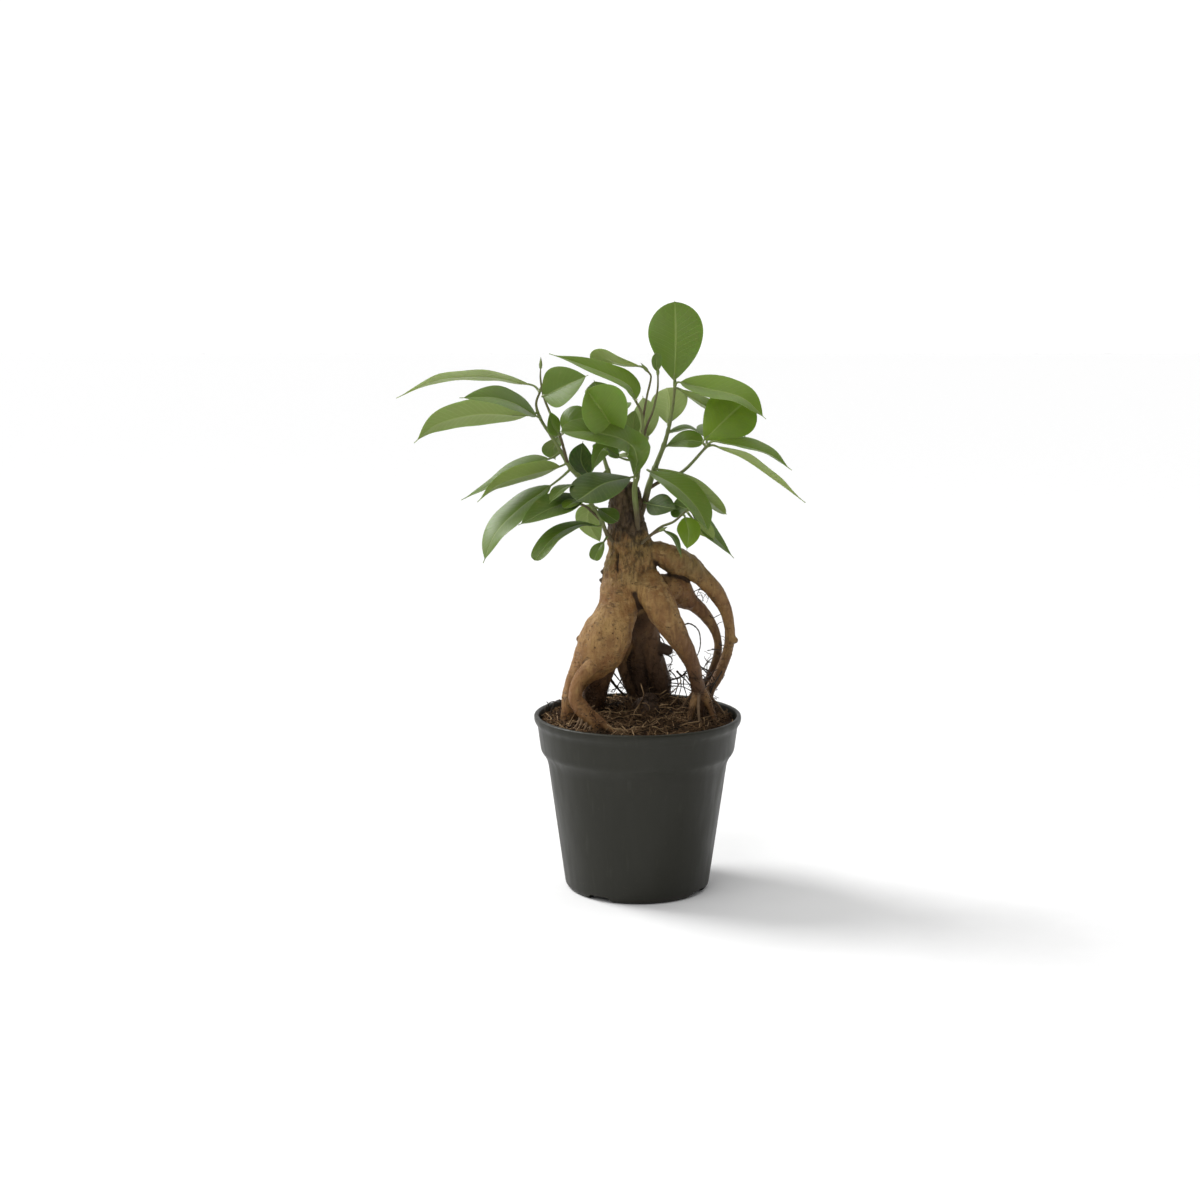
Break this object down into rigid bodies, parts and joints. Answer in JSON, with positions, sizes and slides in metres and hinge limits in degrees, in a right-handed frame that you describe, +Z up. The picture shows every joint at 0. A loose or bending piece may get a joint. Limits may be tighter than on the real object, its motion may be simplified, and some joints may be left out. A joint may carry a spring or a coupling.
{
  "type": "potted ginseng ficus",
  "caption": "Small ginseng ficus with a swollen, legged rootstock and leafy grafted stems, standing in a tapered nursery pot.",
  "frame": {"origin": "centre of the pot's flat underside", "axes": "+Z up along the pot's axis, -Y towards the viewer of the picture"},
  "size_m": [0.236, 0.126, 0.338],
  "materials": {
    "pot_plastic": "dark green-grey moulded plastic, satin matte",
    "potting_mix": "loose dark brown coco and bark fibre",
    "root_bark": "thin tan bark, darker and rougher at the top of the trunk",
    "leaf_green": "leathery green leaf with a soft gloss, paler midrib and olive petiole"
  },
  "bodies": {
    "root": {"pot": "pot_plastic", "potting_mix": "potting_mix", "rootstock": "root_bark", "leafy_stem_left": "leaf_green", "leafy_stem_left_low": "leaf_green", "leafy_stem_centre": "leaf_green", "leafy_stem_back": "leaf_green", "leafy_stem_right": "leaf_green", "leafy_stem_right_low": "leaf_green"}
  },
  "joints": []
}
